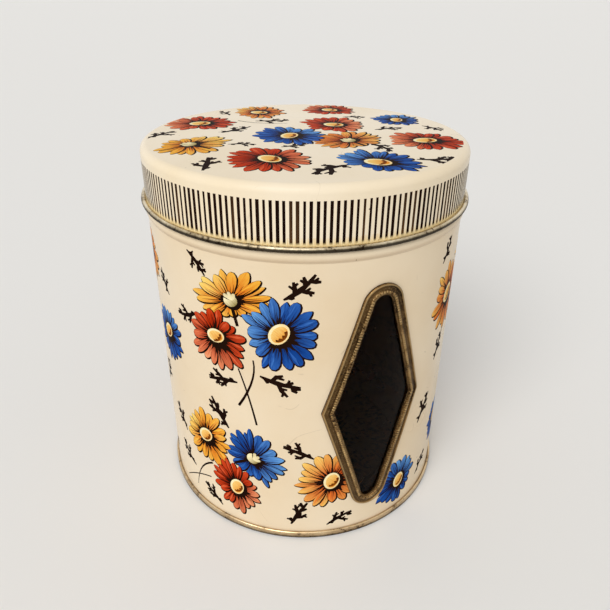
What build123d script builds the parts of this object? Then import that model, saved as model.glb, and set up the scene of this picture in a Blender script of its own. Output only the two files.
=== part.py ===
# A round lidded tin with a diamond window in its side wall: six pieces of pressed and rolled sheet.
# Millimetres. The origin is the centre of the base, +Z is up and the window faces -Y.
import os
from math import acos, atan2, cos, degrees, hypot, radians, sin, sqrt

from build123d import *

os.makedirs("parts", exist_ok=True)

# Overall
body_diameter = 114.0
overall_height = 139.5
sheet = 0.3

# Double seam at the foot, where the hooks of the wall and of the base lie in each other
seam_height = 3.0
seam_clearance = 0.06
wall_hook_length = 1.5
base_hook_length = 1.3
foot_flat_width = 0.3

# Base panel, set up inside the seam, with one pressed step that stiffens it
panel_rise = 3.3
panel_corner_radius = 0.7
step_ring_radius = 40.0
step_bend_radius = 1.2
step_bend_angle = 35.0

# Bead round the wall, which the lid's curl comes down on
bead_bottom = 116.0
bead_foot_radius = 0.3
bead_foot_angle = 40.0
bead_radius = 2.8
bead_head_radius = 0.6

# Neck above the bead, and the curl at the mouth, which leans inwards
neck_recess = 0.35
mouth_curl_diameter = 1.8
mouth_curl_turn = 300.0

# Lid, drawn in one piece, with a curl that leans outwards
lid_clearance = 0.25
lid_seat_gap = 0.3
lid_shoulder_radius = 2.6
lid_curl_diameter = 1.9
lid_curl_turn = 305.0

# Lock seam down the back of the wall
lock_seam_width = 5.0
lock_seam_layers = 3
lock_seam_end_gap = 1.5
lock_groove_width = 0.4
lock_groove_depth = 0.12

# Window outline, a tall diamond with a round top and foot
window_height = 60.3
window_half_width = 19.2
window_half_length = 47.0
window_apex_radius = 7.4
window_side_radius = 1.0
least_corner_radius = 0.4

# Relief of the bezel across its band, from the outer edge inwards
band_width = 4.05
bezel_floor_height = 0.5
bezel_lip_width = 0.8
bezel_lip_height = 0.95
bezel_bead_inset = 2.2
bezel_bead_width = 1.35
bezel_bead_height = 1.2
bezel_lip_rounding = 0.3
bezel_bead_rounding = 0.4
throat_width = 0.4

# Pane, inner frame and tabs behind the wall
stack_clearance = 0.05
pane_thickness = 0.5
pane_side_clearance = 0.25
retainer_thickness = 0.4
retainer_opening_inset = 3.9
tab_inset = 0.4
tab_thickness = 0.4
tab_width = 5.0
tab_leg = 2.2
tab_slit_clearance = 0.1
tab_place_shares = (0.15, 0.52)

wall_radius = body_diameter / 2
half_sheet = sheet / 2
wall_line = wall_radius - half_sheet


def ahead(x, z, facing, distance):
    """Point at a distance from (x, z) in the direction that facing gives in degrees."""
    return x + distance * cos(radians(facing)), z + distance * sin(radians(facing))


def sheet_section(x, z, heading, moves):
    """Section of a sheet in the XZ plane.

    Each move of its middle line is (length, 0) for a run or (bend radius, turn) for a bend.
    """
    sides = {1: [], -1: []}
    for size, turn in moves:
        if turn == 0:
            stations = [(x, z, heading), (*ahead(x, z, heading, size), heading)]
        else:
            inward = 90 if turn > 0 else -90
            centre = ahead(x, z, heading + inward, size)
            facings = [heading, heading + turn / 2, heading + turn]
            stations = [(*ahead(*centre, facing - inward, size), facing) for facing in facings]
        for side, edges in sides.items():
            skin = [ahead(px, pz, facing + 90, side * half_sheet) for px, pz, facing in stations]
            points = [Vector(px, 0, pz) for px, pz in skin]
            edges.append(Line(*points) if turn == 0 else ThreePointArc(*points))
        x, z, heading = stations[-1]
    ends = [Line(sides[1][place] @ end, sides[-1][place] @ end) for place, end in ((-1, 1), (0, 0))]
    return make_face(sides[1] + sides[-1] + ends)


def pressed(x, z, heading, moves):
    return revolve(sheet_section(x, z, heading, moves), Axis.Z)


# Middle lines of the five layers of the double seam, from the inside outwards
layer_pitch = sheet + seam_clearance
chuck_line = wall_line - layer_pitch
wall_hook_line = wall_line + 2 * layer_pitch
seam_line = wall_line + 3 * layer_pitch
hook_bend_radius = layer_pitch
foot_bend_radius = (seam_line - chuck_line - foot_flat_width) / 2
foot_bend_height = foot_bend_radius + half_sheet
wall_hook_bend_height = sheet + seam_clearance + hook_bend_radius + half_sheet
seam_top_bend_height = seam_height - hook_bend_radius - half_sheet

# Bead of the wall: out at its foot, round its crest and in at its head, down to the neck
foot_angle = radians(bead_foot_angle)
head_angle = acos((bead_radius * cos(foot_angle) + bead_head_radius - neck_recess
                   - bead_foot_radius * (1 - cos(foot_angle))) / (bead_radius + bead_head_radius))
bead_crest_height = bead_bottom + (bead_foot_radius + bead_radius) * sin(foot_angle)
bead_top = bead_crest_height + (bead_radius + bead_head_radius) * sin(head_angle)
bead_centre_line = wall_line + (bead_foot_radius + bead_radius) * (1 - cos(foot_angle)) - bead_radius
neck_line = wall_line - neck_recess
mouth_curl_radius = mouth_curl_diameter / 2 - half_sheet
mouth_curl_height = overall_height - lid_shoulder_radius

wall = pressed(wall_hook_line, wall_hook_bend_height + wall_hook_length, -90, [
    (wall_hook_length, 0),
    (hook_bend_radius, -180),
    (bead_bottom - wall_hook_bend_height, 0),
    (bead_foot_radius, -bead_foot_angle),
    (bead_radius, bead_foot_angle + degrees(head_angle)),
    (bead_head_radius, -degrees(head_angle)),
    (mouth_curl_height - bead_top, 0),
    (mouth_curl_radius, mouth_curl_turn),
])

# Lock seam: the folded layers stand inside the wall, and a shallow groove shows outside
lock_seam_foot = seam_height + lock_seam_end_gap
lock_seam_length = bead_bottom - lock_seam_end_gap - lock_seam_foot


def upright_tube(inner_radius, outer_radius, foot, length):
    below = Align.CENTER, Align.CENTER, Align.MIN
    tube = Cylinder(outer_radius, length, align=below) - Cylinder(inner_radius, length, align=below)
    return Pos(0, 0, foot) * tube


def back_strip(x, width):
    """Upright slab behind the axis, as long as the lock seam."""
    slab = Box(width, body_diameter, lock_seam_length, align=(Align.CENTER, Align.MIN, Align.MIN))
    return Pos(x, 0, lock_seam_foot) * slab


fold_depth = lock_seam_layers * sheet
fold = upright_tube(wall_line - half_sheet - fold_depth, wall_line, lock_seam_foot, lock_seam_length)
groove = upright_tube(wall_radius - lock_groove_depth, wall_radius + sheet, lock_seam_foot, lock_seam_length)
wall += fold & back_strip(0, lock_seam_width)
wall -= groove & back_strip((lock_seam_width + lock_groove_width) / 2, lock_groove_width)

# Base, followed from the middle of its panel out to the tip of its hook
step_width = 2 * step_bend_radius * sin(radians(step_bend_angle))
step_drop = 2 * step_bend_radius * (1 - cos(radians(step_bend_angle)))
panel_line = panel_rise + half_sheet
base_end = pressed(0, panel_line, 0, [
    (step_ring_radius, 0),
    (step_bend_radius, -step_bend_angle),
    (step_bend_radius, step_bend_angle),
    (chuck_line - panel_corner_radius - step_width - step_ring_radius, 0),
    (panel_corner_radius, -90),
    (panel_line - step_drop - panel_corner_radius - foot_bend_height, 0),
    (foot_bend_radius, 90),
    (foot_flat_width, 0),
    (foot_bend_radius, 90),
    (seam_top_bend_height - foot_bend_height, 0),
    (hook_bend_radius, 180),
    (base_hook_length, 0),
])

# Lid, followed from the middle of its top out to the tip of its curl
skirt_line = neck_line + sheet + lid_clearance
lid_curl_radius = lid_curl_diameter / 2 - half_sheet
lid_curl_reach = bead_radius + half_sheet + lid_curl_diameter / 2 + lid_seat_gap
lid_curl_offset = skirt_line + lid_curl_radius - bead_centre_line
lid_curl_height = bead_crest_height + sqrt(lid_curl_reach ** 2 - lid_curl_offset ** 2)
shoulder_line_radius = lid_shoulder_radius - half_sheet
lid = pressed(0, overall_height - half_sheet, 0, [
    (skirt_line - shoulder_line_radius, 0),
    (shoulder_line_radius, -90),
    (overall_height - lid_shoulder_radius - lid_curl_height, 0),
    (lid_curl_radius, lid_curl_turn),
])

# Window outline: half the length of the sharp diamond whose rounded apex ends at window_half_length
flat_length = window_half_length - window_apex_radius
apex_ratio = 1 - (window_apex_radius / window_half_width) ** 2
apex_root = sqrt(flat_length ** 2 - apex_ratio * (flat_length ** 2 - window_apex_radius ** 2))
sharp_half_length = (flat_length + apex_root) / apex_ratio
side_length = hypot(window_half_width, sharp_half_length)
side_slope = degrees(atan2(sharp_half_length, window_half_width))
window_plane = Plane(origin=(0, 0, window_height), x_dir=(1, 0, 0), z_dir=(0, -1, 0))


def window_prism(inset):
    """Prism from the axis out through the front wall, over the outline moved inwards by inset."""
    half_width = window_half_width - inset * side_length / sharp_half_length
    half_length = sharp_half_length - inset * side_length / window_half_width
    outline = Polygon((half_width, 0), (0, half_length), (-half_width, 0), (0, -half_length), align=None)
    corners = outline.vertices().sort_by(Axis.Y)
    outline = fillet([corners[0], corners[-1]], max(window_apex_radius - inset, least_corner_radius))
    sides = outline.vertices().sort_by(Axis.X)
    outline = fillet([sides[0], sides[-1]], max(window_side_radius - inset, least_corner_radius))
    return extrude(window_plane * outline, body_diameter)


def window_shell(inner_radius, outer_radius):
    return upright_tube(inner_radius, outer_radius, 0, overall_height)


def band(outer_inset, inner_inset, inner_radius, outer_radius):
    """Curved frame between two insets of the outline and two radii."""
    return (window_prism(outer_inset) - window_prism(inner_inset)) & window_shell(inner_radius, outer_radius)


def rounded(ridge, top_radius, rounding):
    """A raised band with the edges of its outermost face rounded."""
    touching = sheet / 100

    def on_top(edge):
        places = [edge @ share for share in (0, 0.5, 1)]
        return all(abs(hypot(place.X, place.Y) - top_radius) < touching for place in places)

    return fillet(ridge.edges().filter_by(on_top), rounding)


def tab_places(width):
    """Blocks that cut a band down to the stretches where the tabs are."""
    blocks = Sketch()
    for right in (1, -1):
        for up in (1, -1):
            for share in tab_place_shares:
                place = Pos(right * (1 - share) * window_half_width, up * share * sharp_half_length)
                blocks += place * Rot(0, 0, -right * up * side_slope) * Rectangle(width, 3 * tab_leg)
    return extrude(window_plane * blocks, body_diameter)


# Radii of what lies behind the wall, from the outside inwards
pane_outside = wall_radius - sheet - stack_clearance
pane_inside = pane_outside - pane_thickness
retainer_outside = pane_inside - stack_clearance
retainer_inside = retainer_outside - retainer_thickness
leg_outside = retainer_inside - stack_clearance
leg_inside = leg_outside - tab_thickness
pane_inset = tab_inset + tab_thickness + pane_side_clearance

aperture = window_prism(band_width - throat_width - stack_clearance)
slit_outset = tab_inset - tab_slit_clearance
slit_inset = tab_inset + tab_thickness + tab_slit_clearance
slits = band(slit_outset, slit_inset, leg_inside, wall_radius + sheet)
body_wall = wall - aperture - (slits & tab_places(tab_width + 2 * tab_slit_clearance))

window_pane = window_prism(pane_inset) & window_shell(pane_inside, pane_outside)
window_retainer = band(pane_inset, retainer_opening_inset, retainer_inside, retainer_outside)

# Bezel: floor, raised lip, bead, throat down to the pane, and the tabs clenched over the inner frame
bezel_seat = wall_radius + stack_clearance
floor_top = wall_radius + bezel_floor_height
lip_top = wall_radius + bezel_lip_height
bead_top_radius = wall_radius + bezel_bead_height
lip = rounded(band(0, bezel_lip_width, bezel_seat, lip_top), lip_top, bezel_lip_rounding)
bead = band(bezel_bead_inset, bezel_bead_inset + bezel_bead_width, bezel_seat, bead_top_radius)
bead = rounded(bead, bead_top_radius, bezel_bead_rounding)
throat = band(band_width - throat_width, band_width, pane_outside + stack_clearance, floor_top)
upright = band(tab_inset, tab_inset + tab_thickness, leg_inside, floor_top)
leg = band(tab_inset, tab_inset + tab_leg, leg_inside, leg_outside)
window_bezel = band(0, band_width, bezel_seat, floor_top) + lip + bead + throat
window_bezel += (upright + leg) & tab_places(tab_width)

pieces = {
    "body_wall": body_wall,
    "base_end": base_end,
    "lid": lid,
    "window_bezel": window_bezel,
    "window_pane": window_pane,
    "window_retainer": window_retainer,
}
for name, piece in pieces.items():
    export_step(piece, f"parts/{name}.step")
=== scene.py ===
# Window lid tin: the looks of a round printed tin with a framed diamond window in its side.
from cmath import rect
from collections import namedtuple
from math import acos, asin, atan2, ceil, cos, degrees, hypot, pi, radians, sin, sqrt
from random import Random

import bpy
from mathutils import Matrix, Vector
from mathutils.geometry import delaunay_2d_cdt


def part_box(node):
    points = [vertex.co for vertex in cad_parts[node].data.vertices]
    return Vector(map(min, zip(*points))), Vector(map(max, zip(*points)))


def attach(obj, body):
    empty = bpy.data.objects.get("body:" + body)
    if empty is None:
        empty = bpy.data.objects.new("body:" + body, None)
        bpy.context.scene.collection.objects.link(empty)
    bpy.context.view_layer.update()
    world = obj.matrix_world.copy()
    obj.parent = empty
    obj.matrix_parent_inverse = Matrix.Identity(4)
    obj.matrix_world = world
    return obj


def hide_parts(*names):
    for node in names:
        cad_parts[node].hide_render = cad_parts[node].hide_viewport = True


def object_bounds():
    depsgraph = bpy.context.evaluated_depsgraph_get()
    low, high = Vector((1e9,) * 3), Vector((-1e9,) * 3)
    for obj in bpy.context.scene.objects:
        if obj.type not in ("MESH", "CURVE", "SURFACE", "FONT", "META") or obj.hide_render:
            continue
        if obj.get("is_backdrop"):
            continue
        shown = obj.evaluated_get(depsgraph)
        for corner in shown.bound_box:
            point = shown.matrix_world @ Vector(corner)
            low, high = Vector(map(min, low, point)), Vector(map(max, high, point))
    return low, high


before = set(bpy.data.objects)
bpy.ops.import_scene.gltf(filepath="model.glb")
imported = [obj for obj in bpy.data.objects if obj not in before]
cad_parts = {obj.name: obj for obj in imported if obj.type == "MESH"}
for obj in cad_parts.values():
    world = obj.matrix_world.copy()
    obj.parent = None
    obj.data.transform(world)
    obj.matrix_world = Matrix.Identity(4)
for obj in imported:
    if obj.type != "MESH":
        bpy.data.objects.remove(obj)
cad_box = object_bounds()

# Camera
# It stands in front of the window's left side and looks down on the tin. Its place and lens come from
# fitting a pinhole camera to the tin's outlines in the photograph.
mm = 0.001
wall_radius = 57.0
photo_side = 610
focal_pixels = 587.19
side_turn = radians(-25.5)
distance_share = 3.6923
height_share = 3.3227
pitch = 0.5151
yaw = 0.0015
roll = 0.007

camera_data = bpy.data.cameras.new("camera")
camera_data.sensor_width = 36
camera_data.lens = camera_data.sensor_width * focal_pixels / photo_side
camera_data.clip_start = 10 * mm
camera = bpy.data.objects.new("camera", camera_data)
bpy.context.scene.collection.objects.link(camera)
stand = Matrix.Rotation(side_turn, 4, "Z") @ Vector((0, -distance_share, height_share)) * wall_radius * mm
aim = (Matrix.Rotation(side_turn - yaw, 4, "Z") @ Matrix.Rotation(pi / 2 - pitch, 4, "X")
       @ Matrix.Rotation(roll, 4, "Z"))
camera.matrix_world = Matrix.Translation(stand) @ aim
bpy.context.scene.camera = camera

# Wall of the tin
# One sheet of tinplate, lacquered and printed flat, rolled up and locked down the back. Its foot is
# hooked into the base, and its head has a bead for the lid, a neck and a curl round the mouth.
# Sizes are in millimetres here and in what follows, and a mesh takes them to metres.
sheet = 0.3
half_sheet = sheet / 2
wall_line = wall_radius - half_sheet
turn_steps = 120
step_turn = 2 * pi / turn_steps
bend_step = 12

layer_pitch = sheet + 0.06
wall_hook_length = 1.5
wall_hook_line = wall_line + 2 * layer_pitch
wall_foot = 2 * layer_pitch + half_sheet
bead_bottom = 116.0
bead_foot_radius = 0.3
bead_foot_angle = 40
bead_radius = 2.8
bead_head_radius = 0.6
neck_recess = 0.35
overall_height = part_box("lid")[1].z / mm
lid_shoulder_radius = 2.6
mouth_curl_radius = 0.9 - half_sheet
mouth_curl_turn = 300
mouth_curl_height = overall_height - lid_shoulder_radius

foot_turn = radians(bead_foot_angle)
head_turn = acos((bead_radius * cos(foot_turn) + bead_head_radius - neck_recess
                  - bead_foot_radius * (1 - cos(foot_turn))) / (bead_radius + bead_head_radius))
bead_crest = bead_bottom + (bead_foot_radius + bead_radius) * sin(foot_turn)
bead_top = bead_crest + (bead_radius + bead_head_radius) * sin(head_turn)
bead_centre_line = wall_line + (bead_foot_radius + bead_radius) * (1 - cos(foot_turn)) - bead_radius
neck_line = wall_line - neck_recess

# Kinds of face on a printed sheet. CUT stands for what is cut out of it.
LACQUER, BRIGHT_INK, DARK_INK, BARE, CUT = range(5)
# Corners that agree to this many digits of a millimetre are one vertex.
place_digits = 5


def placed(mesh):
    made = bpy.data.objects.new(mesh.name, mesh)
    bpy.context.scene.collection.objects.link(made)
    return made


class SheetMesh:
    """Collects the faces of one piece. Corners at one place share a vertex."""

    def __init__(self):
        self.places = {}
        self.facings, self.maps, self.strokes, self.tints = [], [], [], []
        self.faces, self.kinds = [], []

    def add(self, kind, points, facings, on_map, strokes=None, tints=None):
        """Adds a face, with each corner's normal, place on the flat map, brush stroke and tint."""
        keys = [tuple(round(x, place_digits) for x in point) for point in points]
        names = [self.places.setdefault(key, len(self.places)) for key in keys]
        kept = [i for i, name in enumerate(names) if name != names[i - 1]]
        if len(kept) < 3:
            return
        self.faces.append([names[i] for i in kept])
        self.kinds.append(kind)
        for i in kept:
            self.facings.append(facings[i])
            self.maps.append(on_map[i])
            self.strokes.append(strokes[i] if strokes else (0, 0))
            self.tints.append(tints[i] if tints else (0, 0, 0, 1))

    def piece(self, name, materials):
        """Makes the object. materials holds a material for each kind of face."""
        mesh = bpy.data.meshes.new(name)
        mesh.from_pydata([[x * mm for x in place] for place in self.places], [], self.faces)
        for material in materials.values():
            mesh.materials.append(material)
        slots = {kind: slot for slot, kind in enumerate(materials)}
        mesh.polygons.foreach_set("material_index", [slots[kind] for kind in self.kinds])
        mesh.polygons.foreach_set("use_smooth", [True] * len(self.faces))
        for map_name, places in (("OFBake", self.maps), ("Strokes", self.strokes)):
            layer = mesh.uv_layers.new(name=map_name)
            layer.uv.foreach_set("vector", [x for place in places for x in place])
        tint = mesh.attributes.new("Tint", "FLOAT_COLOR", "CORNER")
        tint.data.foreach_set("color", [x for colour in self.tints for x in colour])
        mesh.uv_layers.active = mesh.uv_layers["OFBake"]
        mesh.normals_split_custom_set(self.facings)
        return placed(mesh)


def ahead(r, z, facing, distance):
    return r + distance * cos(radians(facing)), z + distance * sin(radians(facing))


def bent_sheet(r, z, heading, moves):
    """Runs of stations (r, z, facing) along a sheet. A move is (length, 0) or (bend radius, turn)."""
    runs = []
    for size, turn in moves:
        if turn == 0:
            run = [(r, z, heading), (*ahead(r, z, heading, size), heading)]
        else:
            inward = 90 if turn > 0 else -90
            centre = ahead(r, z, heading + inward, size)
            steps = ceil(abs(turn) / bend_step)
            facings = [heading + turn * step / steps for step in range(steps + 1)]
            run = [(*ahead(*centre, facing - inward, size), facing) for facing in facings]
        runs.append(run)
        r, z, heading = run[-1]
    return runs


def spun_faces(mesh, kind, ends, rows):
    """A ring of faces between two ends, each (r, z, facing of the skin), that counts up from outside."""
    for step in range(turn_steps):
        points, facings, on_map = [], [], []
        for end, at in ((0, step), (0, step + 1), (1, step + 1), (1, step)):
            r, z, facing = ends[end]
            out, up = cos(radians(facing)), sin(radians(facing))
            turn = at * step_turn - pi
            points.append((r * sin(turn), -r * cos(turn), z))
            facings.append((out * sin(turn), -out * cos(turn), up))
            on_map.append((at / turn_steps, rows[end]))
        mesh.add(kind, points, facings, on_map)


def spun(mesh, runs, left_kinds, right_kinds, map_rows):
    """Turns both skins of a bent sheet round the axis. CUT leaves a run's skin open.

    map_rows gives the lowest and highest row of the flat map that each kind's faces take.
    """
    skins = [(left, run, kind) for left, kinds in ((True, left_kinds), (False, right_kinds))
             for run, kind in zip(runs, kinds) if kind != CUT]
    strips = [(left, a, b, kind) for left, run, kind in skins for a, b in zip(run, run[1:])]
    lengths, done = dict.fromkeys(map_rows, 0), dict.fromkeys(map_rows, 0)
    for _, a, b, kind in strips:
        lengths[kind] += hypot(b[0] - a[0], b[1] - a[1])
    for left, a, b, kind in strips:
        low, high = map_rows[kind]
        rows = []
        for length in (0, hypot(b[0] - a[0], b[1] - a[1])):
            done[kind] += length
            rows.append(low + (high - low) * done[kind] / lengths[kind])
        side = 90 if left else -90
        ends = [(*ahead(r, z, facing + side, half_sheet), facing + side) for r, z, facing in (a, b)]
        spun_faces(mesh, kind, ends[::-1] if left else ends, rows[::-1] if left else rows)
    for (r, z, facing), first in ((runs[0][0], True), (runs[-1][-1], False)):
        if r > 0:
            edge = facing + 180 if first else facing
            ends = [(*ahead(r, z, facing + side, half_sheet), edge) for side in (-90, 90)]
            spun_faces(mesh, BARE, ends[::-1] if first else ends, map_rows[BARE])


Patch = namedtuple("Patch", "kind outline root along near far", defaults=(0, 1, (0, 0, 0, 1), (0, 0, 0, 1)))


def paint(red, green, blue):
    """Linear colour from the red, green and blue of a colour chart, from 0 to 255."""
    shares = [x / 255 for x in (red, green, blue)]
    return (*[x / 12.92 if x <= 0.04045 else ((x + 0.055) / 1.055) ** 2.4 for x in shares], 1)


def mixed(one, other, share):
    return tuple(a + (b - a) * share for a, b in zip(one, other))


def stretch(low, high, count):
    return [low + (high - low) * i / (count - 1) for i in range(count)]


def sides_of(corners):
    """Each corner with the next, and the last with the first."""
    return zip(corners, corners[1:] + corners[:1])


def turned_left(outline):
    area = sum((a.conjugate() * b).imag for a, b in sides_of(outline))
    return outline if area > 0 else outline[::-1]


def holds(outline, spot):
    """Whether a spot lies inside an outline."""
    inside = False
    for a, b in sides_of(outline):
        if (a.imag > spot.imag) != (b.imag > spot.imag):
            if spot.real < a.real + (b.real - a.real) * (spot.imag - a.imag) / (b.imag - a.imag):
                inside = not inside
    return inside


def thinned(places, faces, tops, lasting):
    """The same sheet in fewer faces: only the lasting edges and those between two patches are kept.

    tops has the patch that each face shows, or None outside the sheet.
    """
    left = {side: top for corners, top in zip(faces, tops) for side in sides_of(corners)}
    seams = [(a, b) for (a, b), top in left.items() if (a < b or (b, a) not in left)
             and (top != left.get((b, a)) or (a, b) in lasting or (b, a) in lasting)]
    used = sorted({corner for seam in seams for corner in seam})
    place_in = {corner: i for i, corner in enumerate(used)}
    flat = [Vector((places[corner].real, places[corner].imag)) for corner in used]
    pairs = [(place_in[a], place_in[b]) for a, b in seams]
    places, edges, faces, sources, edge_sources, _ = delaunay_2d_cdt(flat, pairs, [], 0, 1e-6, True)
    names = [used[source[0]] if source else -1 for source in sources]
    fixed = {side for edge, source in zip(edges, edge_sources) if source for side in (edge, edge[::-1])}
    face_at = {side: i for i, corners in enumerate(faces) for side in sides_of(corners)}
    found = {}
    for i, corners in enumerate(faces):
        known = [left[names[a], names[b]] for a, b in sides_of(corners) if (names[a], names[b]) in left]
        if known:
            found[i] = known[0]
    spread = list(found)
    for i in spread:
        for a, b in sides_of(faces[i]):
            other = face_at.get((b, a), i)
            if other not in found and (a, b) not in fixed:
                found[other] = found[i]
                spread.append(other)
    return [complex(*place) for place in places], faces, [found.get(i) for i in range(len(faces))]


# How far apart, in millimetres, the brush's streaks on two patches are
brush_shift = 7.3


def printed(mesh, kind, border, rulings, patches, laid, facing, on_map, inward=False):
    """Lays a flat sheet with its printed patches, the last on top, on a surface.

    Points on the sheet are complex numbers. laid and facing take one to its place in space and its normal,
    and on_map takes one and the middle of its face to its place on the flat map.
    """
    sheets = [Patch(kind, border)] + patches
    points, edges, outlines = [], [], []
    for start, end in rulings:
        edges.append((len(points), len(points) + 1))
        points += [start, end]
    for patch in sheets:
        outlines.append(list(range(len(points), len(points) + len(patch.outline))))
        points += turned_left(patch.outline)
    flat = [Vector((point.real, point.imag)) for point in points]
    places, lines, faces, _, line_sources, owners = delaunay_2d_cdt(flat, edges, outlines, 1, 1e-5, True)
    places = [complex(*place) for place in places]
    tops = []
    for corners, owned in zip(faces, owners):
        middle = sum(places[i] for i in corners) / len(corners)
        top = next((i for i in sorted(owned, reverse=True) if holds(sheets[i].outline, middle)), None)
        tops.append(None if top is None or sheets[top].kind == CUT else top)
    lasting = {line for line, sources in zip(lines, line_sources) if any(i < len(edges) for i in sources)}
    places, faces, tops = thinned(places, faces, tops, lasting)
    in_space = [laid(place) for place in places]
    for corners, top in zip(faces, tops):
        if top is None:
            continue
        middle = sum(places[i] for i in corners) / len(corners)
        patch = sheets[top]
        if inward:
            corners = corners[::-1]
        spots = [places[i] for i in corners]
        length = abs(patch.along)
        strokes = [(spot - patch.root) / patch.along for spot in spots]
        tints = [mixed(patch.near, patch.far, min(max(stroke.real, 0), 1)) for stroke in strokes]
        brush = [(stroke.real * length + brush_shift * top, stroke.imag * length) for stroke in strokes]
        mesh.add(patch.kind, [in_space[i] for i in corners], [facing(spot) for spot in spots],
                 [on_map(spot, middle) for spot in spots], brush, tints)


def single(spot):
    """The point as printed() keeps it, in single precision, for the rings of holes in printed sheets."""
    return complex(*Vector((spot.real, spot.imag)))


def bridged(mesh, kind, ring, outside, inside, on_map):
    """Joins the two skins of a sheet round a ring of flat points that goes round a hole leftwards."""
    for a, b in sides_of(ring):
        corners = [outside(a), outside(b), inside(b), inside(a)]
        first, second, third = (Vector(corner) for corner in corners[:3])
        facing = (second - first).cross(third - second)
        if facing.length > 0:
            mesh.add(kind, corners, [facing.normalized()] * 4,
                     [on_map(spot, (a + b) / 2) for spot in (a, b, b, a)])


def snapped(place, nearest, reach=0.002):
    """The nearest mark if the place is on it, and otherwise the place."""
    return nearest if abs(nearest - place) < reach else place


def on_column(place):
    """The place, on the nearest of the wall's upright rulings if it lies there."""
    return snapped(place, round(place / column_width) * column_width)


def split_at(outline, marks):
    """The outline with a point more wherever it crosses one of the upright marks."""
    ring = []
    for a, b in sides_of(outline):
        crossed = [(mark - a.real) / (b.real - a.real) for mark in marks
                   if (a.real - mark) * (b.real - mark) < 0]
        ring += [a] + [a + (b - a) * share for share in sorted(crossed)]
    return ring


# Print: petals, daisies and sprigs, in inks that one plate after another lays on the lacquer
key_width = 0.38
shade_way = rect(1, radians(-40))
# Half widths that a fine line and a pale streak end in
line_end = 0.03
streak_end = 0.05
# Round a heart of this half width or more, the dark between the petals' roots is at its full width
least_full_hollow = 2.4
# Each ink's deep, full and pale tones, and how far every petal pales towards its tip
daisy_inks = {
    "red": (paint(110, 12, 0), paint(202, 54, 8), paint(244, 162, 114), 0.08),
    "blue": (paint(6, 24, 80), paint(20, 78, 166), paint(112, 170, 226), 0.1),
    "yellow": (paint(206, 82, 10), paint(240, 168, 36), paint(250, 220, 124), 0.3),
    "orange": (paint(166, 28, 0), paint(222, 82, 2), paint(252, 210, 112), 0.62),
}
heart_cream = paint(250, 236, 190)
heart_yellow = paint(242, 188, 74)
heart_amber = paint(224, 136, 34)
heart_brown = paint(78, 18, 4)
calyx_green = paint(150, 132, 74)


def petal(root, tip, width, sharpness):
    """Outline of a petal, narrow at its root, with nearly straight sides and a tip from blunt to sharp."""
    along = tip - root
    across = 1j * along / abs(along) * width / 2
    sides = [(0, 0.3), (0.28, 0.66), (0.56, 0.96), (0.77, 1 - 0.14 * sharpness),
             (0.9, 0.78 - 0.3 * sharpness), (0.98, 0.36 - 0.24 * sharpness)]
    return ([root + share * along - half * across for share, half in sides]
            + [root + share * along + half * across for share, half in reversed(sides)])


def oval(middle, half_long, half_wide, way, count=18):
    turns = [2 * pi * i / count for i in range(count)]
    return [middle + way * complex(half_long * cos(turn), half_wide * sin(turn)) for turn in turns]


def stroke(points, half_widths):
    """Outline of a brush stroke through the points."""
    right, left = [], []
    for i, point in enumerate(points):
        way = points[min(i + 1, len(points) - 1)] - points[max(i - 1, 0)]
        across = 1j * way / abs(way) * half_widths[i]
        right.append(point - across)
        left.append(point + across)
    return right + left[::-1]


def dark_stroke(points, half_widths):
    return Patch(DARK_INK, stroke(points, half_widths))


def petals(heart, tips, hollow, ink, lit, chance):
    """Patches of the petals, every other one first. lit is the way that the pale ones point."""
    deep, full, pale, tip_share = daisy_inks[ink]
    count = len(tips)
    for i in [*range(0, count, 2), *range(1, count, 2)]:
        tip = tips[i]
        way = (tip - heart) / abs(tip - heart)
        root = heart + way * hollow * 0.8
        along = tip - root
        width = abs(tips[(i + 1) % count] - tips[i - 1]) * chance.uniform(0.34, 0.43)
        sharpness = chance.random()
        glow = min(1, max(0, (way / rect(1, radians(lit))).real * 1.3 - 0.2) * chance.uniform(0.4, 1.1))
        shaded = max(0, (way / shade_way).real) * chance.uniform(0, 0.6)
        near = mixed(deep, full, max(glow, chance.uniform(0, 0.5)) * chance.uniform(0.3, 0.9))
        far = mixed(mixed(full, pale, max(glow, tip_share * chance.uniform(0.4, 1.4))), deep, shaded * 0.5)
        nudge = shade_way * key_width * 0.85
        back = petal(root + nudge, tip + way * key_width + nudge, width + 2 * key_width, sharpness)
        yield Patch(DARK_INK, back)
        yield Patch(BRIGHT_INK, petal(root, tip, width, sharpness), root, along, near, far)
        dim_side = 1j * way * width * (1 if (1j * way / shade_way).real > 0 else -1)
        for least, most, half_width in ((0.14, 0.3, 0.3), (-0.12, 0.06, 0.2)):
            reach = along * chance.uniform(0.4, 0.85)
            side = dim_side * chance.uniform(least, most)
            line = [root + side * 0.3, root + side + reach * 0.5, root + side + reach]
            yield dark_stroke(line, [half_width, half_width * 0.6, line_end])
        if chance.random() < 0.65:
            side = -dim_side * chance.uniform(0.1, 0.26)
            streak = stroke([root + along * share + side for share in (0.35, 0.68, 0.93)],
                            [streak_end, width * 0.15, streak_end])
            yield Patch(BRIGHT_INK, streak, root, along, full, mixed(full, pale, min(1, 0.3 + 0.8 * glow)))
    gap_share = min(1, hollow / least_full_hollow)
    for i in range(count):
        between = (tips[i] + tips[i - 1]) / 2 - heart
        shade = max((between / abs(between) / shade_way).real, 0)
        reach = (0.5 + 0.26 * shade * chance.random()) * gap_share
        yield dark_stroke([heart, heart + between * reach * 0.6, heart + between * reach],
                          [0.9 * gap_share, (0.48 + 0.45 * shade) * gap_share, line_end])


def petal_tips(middle, size, squash, way, chance):
    count = chance.randint(18, 20)
    tips = []
    for i in range(count):
        turn = 2 * pi * (i + chance.uniform(-0.22, 0.22)) / count
        reach = size * chance.uniform(0.8, 1.04)
        tips.append(middle + way * complex(reach * squash * cos(turn), reach * sin(turn)))
    return tips


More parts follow.
